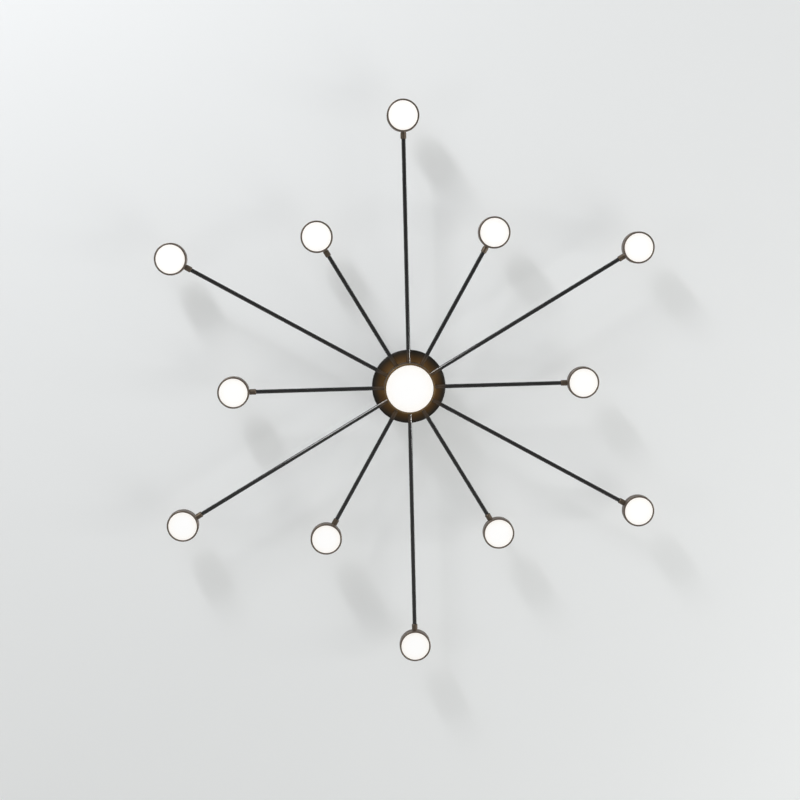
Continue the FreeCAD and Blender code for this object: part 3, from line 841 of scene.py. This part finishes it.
def reach_of(node, axis):
    """The least and the greatest distance of a node's points along an axis through the origin."""
    vertices = frame["nodes"][node].data.vertices
    places = np.empty(len(vertices) * 3, np.float32)
    vertices.foreach_get("co", places)
    distances = places.reshape(-1, 3) @ axis
    return distances.min(), distances.max()


couplers = []
for number, joint in zip(NUMBERS, frame["joints"]):
    body = joint["child"]
    axis = np.array(joint["axis"], float)
    axis /= np.linalg.norm(axis)
    boss_face = np.dot(joint["pos_m"], axis)
    rod_root, rod_tip = reach_of(f"arm_{number}", axis)
    middle = axis * (boss_face + BOSS_LENGTH + head_radius)
    tube = arm_tube(rod_root, rod_tip, axis)
    casing = [head_cup(middle), boss(boss_face, axis)]
    disc = opal_disc(disc_radius, disc_low.z, disc_high.z, middle)
    couplers.append(coupler(boss_face - SWIVEL_PLAY, rod_tip, axis))
    new_piece(f"arm_tube_{number}", [tube], arm_coat_and_painted_glow, FRAME_BODY, [f"arm_{number}"])
    shell_name = f"head_shell_{number}"
    new_piece(shell_name, casing, head_bronze, body, [f"head_casing_{number}"])
    new_piece(f"head_opal_{number}", [disc], opal, body, [f"head_diffuser_{number}"])
new_piece("couplers_turned", couplers, dark_bronze, FRAME_BODY, ["arm_couplers"])

# Screws: two in the cup's side, three in its floor, and one over each pole of the terminal block

cup_screws = []
cup_screw_height = (cup_screw_low.z + cup_screw_high.z) / 2
for side in (1, -1):
    outwards = np.array([side, 0.0, 0.0])
    seat = outwards * cup_high.x + UP * cup_screw_height
    cup_screws += pan_screw(seat, outwards, CUP_SCREW_LENGTH)

hub_screws = []
hub_screw_circle = drum_high.x - SOCKET_RING_WALL / 2
hub_screw_seat = cup_low.z + CUP_WALL
for angle in HUB_SCREW_ANGLE + np.arange(HUB_SCREW_COUNT) * 2 * math.pi / HUB_SCREW_COUNT:
    spoke = np.array([math.cos(angle), math.sin(angle), 0.0])
    seat = hub_screw_circle * spoke + UP * hub_screw_seat
    hub_screws += pan_screw(seat, UP, hub_screw_seat - hub_screw_low.z)

pole_screws = []
well_floor = block_high.z - POLE_WELL_DEPTH
block_middle = (block_low + block_high) / 2
for pole in (-1, 0, 1):
    seat = (block_middle.x + pole * POLE_SPACING, block_middle.y, well_floor)
    pole_screws.append(driven_head(POLE_SCREW_RADIUS, POLE_SCREW_HEIGHT, SLOT_DRIVE, seat, UP))

new_piece("cup_screws_driven", cup_screws, screw_zinc, FRAME_BODY, ["cup_screws"])
new_piece("hub_screws_driven", hub_screws, screw_zinc, FRAME_BODY, ["hub_screws"])
new_piece("pole_screws_driven", pole_screws, screw_zinc, FRAME_BODY)

# Finishes of the nodes that keep their own mesh

CARRIED = {
    "bracket_steel": bracket_zinc,
    "screw_steel": screw_zinc,
    "driver_plastic": driver_case,
    "block_plastic": block_case,
    "led_board": board_mask,
    "black_metal": cup_coat,
    "black_aluminium": bronze,
    "opal_diffuser": opal,
}
for subpart in frame["record"]["subparts"]:
    for place in frame["nodes"][subpart["node"]].material_slots:
        place.material = CARRIED[subpart["material_slot"]]

# Ceiling, lights and camera

# The sheet lies just above the frame's ceiling plane, so that no face of the cup or bracket lies in it
CEILING_HEIGHT = 0.3 * MM
CEILING_REACH = 30.0


def ceiling_sheet(inner, outer, rings=24, segments=96):
    """A flat ring of ceiling, facing down: radius inner * (outer / inner) ** share at each angle."""
    share = np.linspace(0, 1, rings)[:, None]
    angle = np.arange(segments)[None, :] * 2 * math.pi / segments
    radius = inner * (outer / inner) ** share
    level = np.full((rings, segments), CEILING_HEIGHT)
    points = np.stack([radius * np.cos(angle), radius * np.sin(angle), level], axis=2)
    faces = joined_rings(rings, segments, poles=True)[0]
    mesh = bpy.data.meshes.new("ceiling")
    mesh.from_pydata(points.reshape(-1, 3).tolist(), [], faces.tolist())
    mesh.materials.append(ceiling_paint())
    sheet = bpy.data.objects.new("ceiling", mesh)
    bpy.context.scene.collection.objects.link(sheet)


ceiling_sheet(inner=cup_high.x - CUP_WALL, outer=CEILING_REACH)


def soft_lamp(name, place, width, height, watts, colour=(1, 1, 1), gleam=False):
    """A window of light that looks at the middle of the ceiling.

    A gleam shows only as a highlight on gloss and metal. Any other lamp only lights.
    """
    light = bpy.data.lights.new(name, "AREA")
    light.shape = "RECTANGLE"
    light.size = width
    light.size_y = height
    light.energy = watts
    light.color = colour
    lamp = bpy.data.objects.new(name, light)
    lamp.location = place
    lamp.rotation_euler = (-Vector(place)).to_track_quat("-Z", "Y").to_euler()
    lamp.visible_camera = False
    lamp.visible_diffuse = not gleam
    lamp.visible_glossy = gleam
    bpy.context.scene.collection.objects.link(lamp)


soft_lamp(
    "upper_left_window",
    place=(-1.41, -2.33, -0.95),
    width=0.32,
    height=0.5,
    watts=30,
    colour=(0.96, 0.968, 1.0),
)
soft_lamp("upper_left_gleam", place=(-1.55, -2.25, -1.30), width=0.75, height=1.4, watts=84, gleam=True)
soft_lamp(
    "upper_left_wall",
    place=(-1.2, -2.0, -0.9),
    width=1.4,
    height=1.4,
    watts=12.4,
    colour=(0.90, 0.912, 1.0),
)
soft_lamp("right_window", place=(2.8, 0.37, -0.9), width=0.2, height=1.0, watts=16)
soft_lamp("right_gleam", place=(2.8, 0.37, -0.95), width=0.25, height=1.6, watts=64, gleam=True)
soft_lamp("lower_right_wall", place=(2.1, 1.6, -1.2), width=1.6, height=1.4, watts=20)
soft_lamp("left_window", place=(-2.2, 0.45, -1.2), width=0.5, height=0.5, watts=3)


def floor_bounce(strength, colour):
    """Light that the floor throws straight up, as an even fill that casts no shadow."""
    light = bpy.data.lights.new("floor_bounce", "SUN")
    light.energy = strength
    light.color = colour
    light.use_shadow = False
    lamp = bpy.data.objects.new("floor_bounce", light)
    lamp.rotation_euler = (math.pi, 0, 0)
    lamp.visible_glossy = False
    bpy.context.scene.collection.objects.link(lamp)


floor_bounce(strength=1.185, colour=(1.0, 1.0, 0.982))

# Where the far floor is lit: the side, and the dot products with it between which the light grows
LIT_SIDE = (-0.4, 1.0, 0.0)
LIT_EDGE = (0.06, 0.24)
# The level, from 0 straight down to 1 at the horizon, at which the far floor has turned into far walls
FAR_WALL_LEVEL = 0.35


def room_light(walls, floor, far_walls, far_floor, lit_floor):
    """Light of the room, brighter from its walls than from its floor.

    What is looked at or mirrored is a pale backdrop instead, with its own tones of far walls and far
    floor, and a lit floor towards one side.
    """
    world = bpy.data.worlds.new("room")
    bpy.context.scene.world = world
    world.use_nodes = True
    world.node_tree.nodes.clear()
    shade = Shade(world.node_tree)
    direction = shade.node("ShaderNodeTexCoord", out="Generated")
    level = 1 - shade.maths("ABSOLUTE", shade.node("ShaderNodeSeparateXYZ", {0: direction}, out="Z"))
    looked_at = shade.node("ShaderNodeLightPath", out="Is Camera Ray")
    mirrored = shade.node("ShaderNodeLightPath", out="Is Glossy Ray")
    passed = shade.node("ShaderNodeLightPath", out="Is Transmission Ray")
    seen = shade.maths("MAXIMUM", shade.maths("MAXIMUM", looked_at, mirrored), passed)
    room_tone = (level * level * level).between(floor, walls)
    lighting = shade.node("ShaderNodeBackground", {"Color": room_tone})
    sides = {0: direction, 1: LIT_SIDE}
    aside = shade.node("ShaderNodeVectorMath", sides, out="Value", operation="DOT_PRODUCT")
    floor_tone = aside.eased(*LIT_EDGE).between(far_floor, lit_floor)
    far_tone = level.eased(0.0, FAR_WALL_LEVEL).between(floor_tone, far_walls)
    backdrop = shade.node("ShaderNodeBackground", {"Color": far_tone})
    surface = shade.node("ShaderNodeMixShader", {0: seen, 1: lighting, 2: backdrop})
    shade.node("ShaderNodeOutputWorld", {"Surface": surface})


room_light(
    walls=(0.72, 0.725, 0.723),
    floor=(0.137, 0.138, 0.138),
    far_walls=(0.80, 0.81, 0.81),
    far_floor=(0.17, 0.171, 0.171),
    lit_floor=(0.76, 0.764, 0.760),
)

# The camera's place, direction and roll, and its lens and sensor in millimetres
CAMERA_PLACE = (-0.10134, -0.25498, -2.11243)
CAMERA_FORWARD = (0.0416, 0.1326, 1.0)
CAMERA_ROLL = math.radians(-1.374)
CAMERA_LENS = 59.03
CAMERA_SENSOR = 36.0


def photo_camera():
    """The camera under the light, turned to the photograph's view: image right is +X and up is -Y."""
    camera = bpy.data.cameras.new("camera")
    camera.sensor_width = CAMERA_SENSOR
    camera.lens = CAMERA_LENS
    forward = Vector(CAMERA_FORWARD).normalized()
    level = forward.cross(Vector((0, -1, 0))).normalized()
    upright = level.cross(forward)
    right = math.cos(CAMERA_ROLL) * level + math.sin(CAMERA_ROLL) * upright
    up = math.cos(CAMERA_ROLL) * upright - math.sin(CAMERA_ROLL) * level
    turn = Matrix((right, up, -forward)).transposed().to_4x4()
    view = bpy.data.objects.new("camera", camera)
    view.matrix_world = Matrix.Translation(CAMERA_PLACE) @ turn
    bpy.context.scene.collection.objects.link(view)
    bpy.context.scene.camera = view


photo_camera()
bpy.context.scene.view_settings.view_transform = "Standard"
